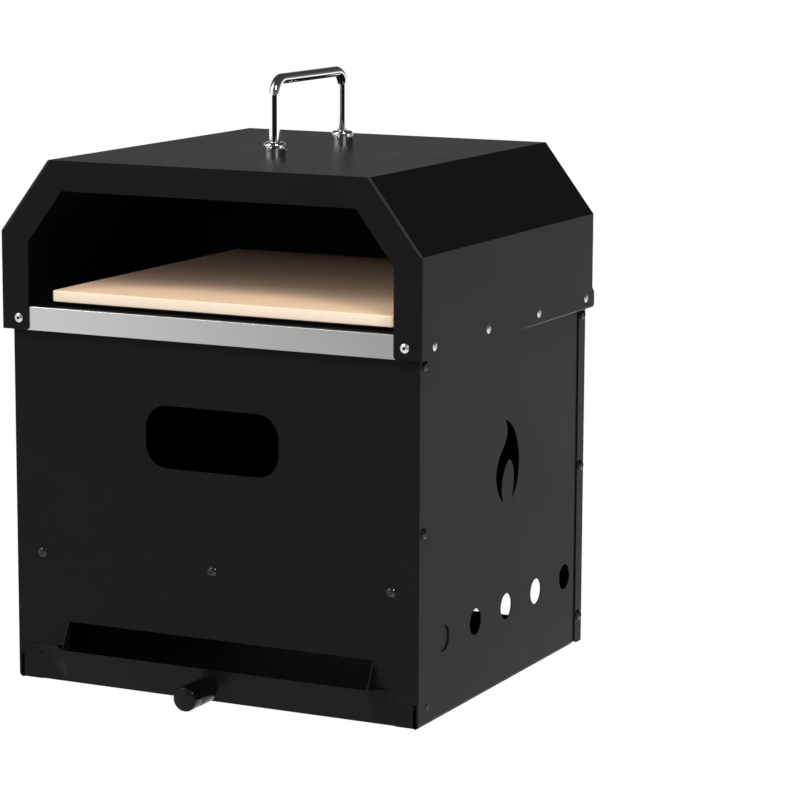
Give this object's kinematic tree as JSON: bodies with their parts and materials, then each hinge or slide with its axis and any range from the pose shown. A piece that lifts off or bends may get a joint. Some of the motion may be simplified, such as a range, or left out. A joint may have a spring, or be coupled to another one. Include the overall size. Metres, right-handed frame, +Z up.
{
  "type": "portable pizza oven grill",
  "caption": "Portable outdoor oven grill: black sheet-steel firebox with ash tray and charcoal grate, under a lift-off hood with a pizza stone, wire grate and chrome handle.",
  "frame": {"origin": "on the ground, in the middle of the whole object's outline seen from above", "axes": "+X to the right and +Z up seen from the front, -Y out of the mouth and the ash tray"},
  "size_m": [0.3936, 0.3926, 0.515],
  "materials": {
    "black_enamel": "black heat-proof paint, satin, fine texture",
    "bright_strip": "stainless steel brushed lengthways",
    "zinc_hardware": "zinc plated",
    "chrome": "bright chrome plate",
    "black_hardware": "black oxide, satin",
    "black_wire": "black enamel",
    "stone": "fine-grained cordierite, matt",
    "black_knob": "heat-proof moulded plastic, satin"
  },
  "bodies": {
    "firebox": {"body_front_panel": "black_enamel", "body_left_panel": "black_enamel", "body_right_panel": "black_enamel", "body_back_panel": "black_enamel", "front_grate_rail": "black_enamel", "back_grate_rail": "black_enamel", "front_rail_screws": "black_hardware", "front_rail_nuts": "zinc_hardware", "back_rail_screws": "black_hardware", "back_rail_nuts": "zinc_hardware", "front_corner_screws": "black_hardware", "front_corner_nuts": "zinc_hardware", "back_corner_screws": "black_hardware", "back_corner_nuts": "zinc_hardware", "lower_corner_rivets": "black_hardware"},
    "charcoal_grate": {"charcoal_grate": "black_enamel"},
    "ash_tray": {"ash_tray_pan": "black_enamel", "ash_tray_front": "black_enamel", "tray_knob": "black_knob", "tray_knob_bolt": "zinc_hardware", "tray_front_rivets": "black_hardware"},
    "hood": {"hood_shell": "black_enamel", "hood_front_frame": "black_enamel", "hood_back_panel": "black_enamel", "stone_shelf": "black_enamel", "front_trim_strip": "bright_strip", "hood_side_rivets": "zinc_hardware", "hood_back_rivets": "zinc_hardware", "trim_rivets": "zinc_hardware", "handle_bar": "chrome", "handle_front_foot": "chrome", "handle_rear_foot": "chrome", "handle_set_screws": "chrome", "handle_screws": "zinc_hardware", "handle_washers": "zinc_hardware"},
    "cooking_grate": {"cooking_grate": "black_wire"},
    "pizza_stone": {"pizza_stone": "stone"}
  },
  "joints": [
    {"name": "hood_lift", "type": "slide", "parent": "firebox", "child": "hood", "axis": [0, 0, 1], "range_m": [0, 0.4]},
    {"name": "charcoal_grate_lift", "type": "slide", "parent": "firebox", "child": "charcoal_grate", "axis": [0, 0, 1], "range_m": [0, 0.22]},
    {"name": "ash_tray_slide", "type": "slide", "parent": "firebox", "child": "ash_tray", "axis": [0, -1, 0], "range_m": [0, 0.33]},
    {"name": "grate_slide", "type": "slide", "parent": "hood", "child": "cooking_grate", "axis": [0, -1, 0], "range_m": [0, 0.34]},
    {"name": "stone_slide", "type": "slide", "parent": "hood", "child": "pizza_stone", "axis": [0, -1, 0], "range_m": [0, 0.33]}
  ],
  "couplings": [
    {"joint": "charcoal_grate_lift", "follows": "hood_lift", "ratio": 0.55}
  ]
}
